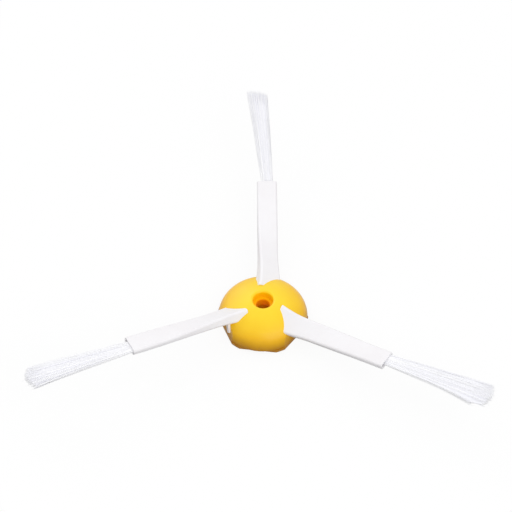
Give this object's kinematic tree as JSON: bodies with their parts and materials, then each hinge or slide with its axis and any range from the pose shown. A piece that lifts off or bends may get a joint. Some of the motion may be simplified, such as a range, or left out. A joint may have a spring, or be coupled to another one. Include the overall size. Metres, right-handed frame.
{
  "type": "vacuum side brush",
  "caption": "Side brush of a floor-cleaning robot: a domed yellow hub with a screw recess and a square drive socket, and soft white arm sleeves that hold fanned bristle tufts.",
  "frame": {"origin": "on the hub's axis, in the plane of its rim, at the mouth of the drive socket", "axes": "+Z along the hub's axis, from the rim up to the screw recess; +Y along the back arm; +X to the right arm's side"},
  "size_m": [0.1501, 0.1322, 0.0227],
  "materials": {
    "hub_plastic": "semi-gloss moulded yellow",
    "sleeve_rubber": "soft matte white",
    "bristle_nylon": "fine white bristle"
  },
  "bodies": {
    "root": {"hub": "hub_plastic", "arm_sleeve_back": "sleeve_rubber", "arm_sleeve_left": "sleeve_rubber", "arm_sleeve_right": "sleeve_rubber", "bristle_tuft_back": "bristle_nylon", "bristle_tuft_left": "bristle_nylon", "bristle_tuft_right": "bristle_nylon"}
  },
  "joints": []
}
